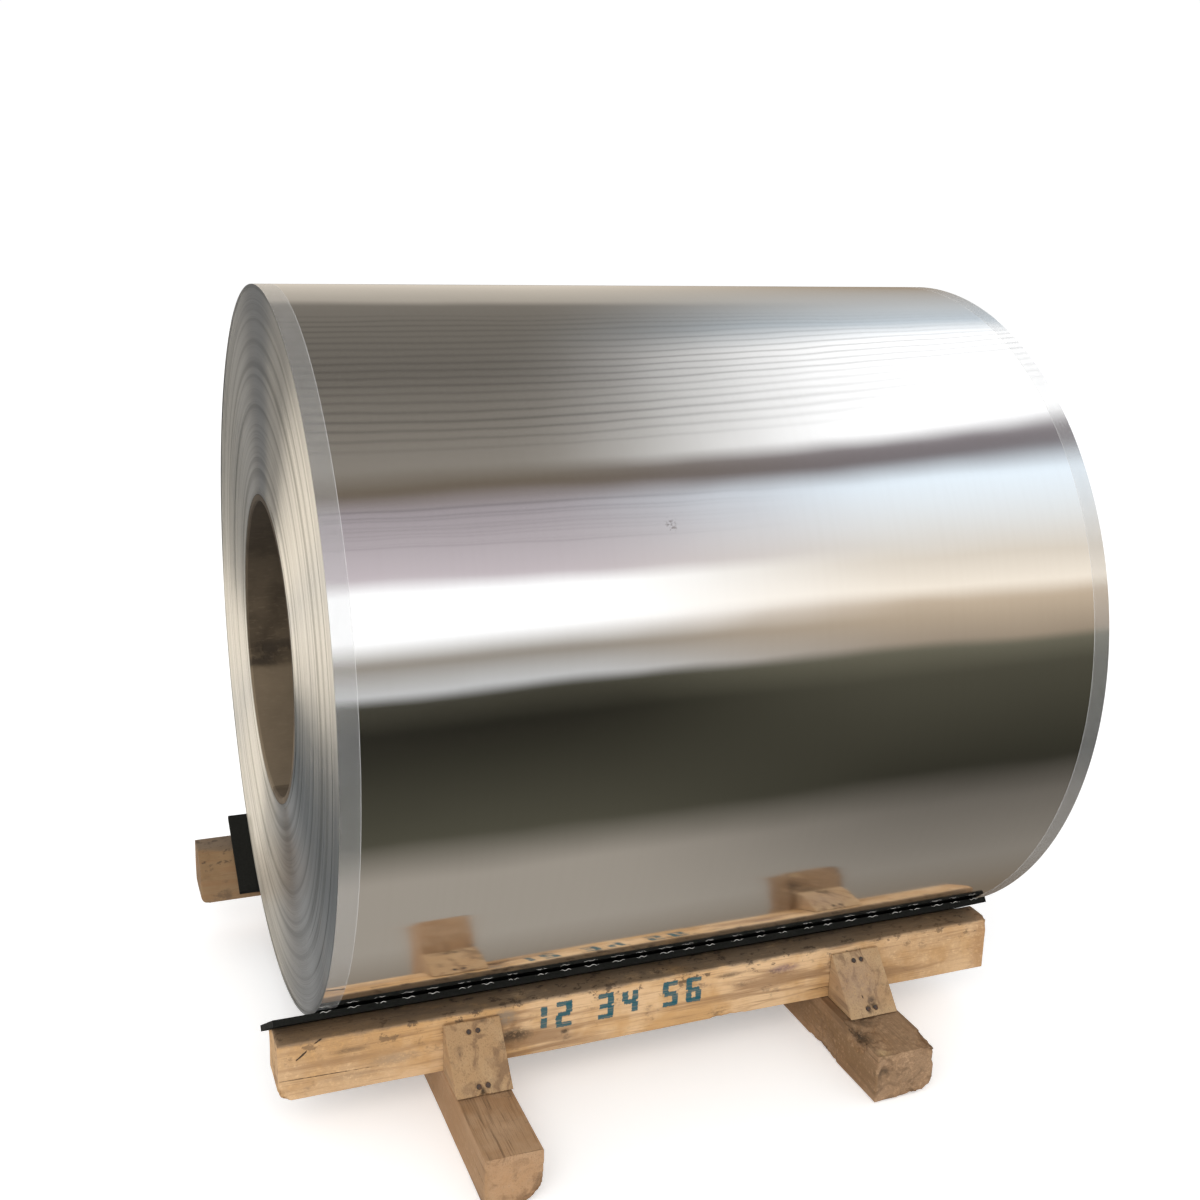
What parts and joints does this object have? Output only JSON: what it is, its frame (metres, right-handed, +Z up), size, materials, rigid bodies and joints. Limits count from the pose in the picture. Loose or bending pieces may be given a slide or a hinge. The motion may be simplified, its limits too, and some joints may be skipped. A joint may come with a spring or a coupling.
{
  "type": "aluminium coil on timber cradle",
  "caption": "Wide aluminium coil wound on a paperboard core, lying on rubber belts in a nailed timber cradle of bevelled beams, skids and wedge blocks.",
  "frame": {"origin": "middle of the footprint on the floor, at the skids' undersides", "axes": "+X along the coil's axis, -Y the front with the visible blocks, +Z up"},
  "size_m": [1.3624, 1.243, 1.3064],
  "materials": {
    "aluminium_sheet": "bright rolled",
    "core_board": "matt wound paperboard",
    "edge_film": "translucent film",
    "rubber_belt": "matt black",
    "beam_timber": "rough sawn",
    "skid_timber": "rough sawn, weathered",
    "block_timber": "rough sawn",
    "nail_steel": "dull wire nail"
  },
  "bodies": {
    "root": {"coil": "aluminium_sheet", "core": "core_board", "film_left": "edge_film", "film_right": "edge_film", "beam_front": "beam_timber", "beam_rear": "beam_timber", "belt_front": "rubber_belt", "belt_rear": "rubber_belt", "skid_left": "skid_timber", "skid_right": "skid_timber", "block_front_left": "block_timber", "block_front_right": "block_timber", "block_rear_left": "block_timber", "block_rear_right": "block_timber", "nails_front_left": "nail_steel", "nails_front_right": "nail_steel", "nails_rear_left": "nail_steel", "nails_rear_right": "nail_steel"}
  },
  "joints": []
}
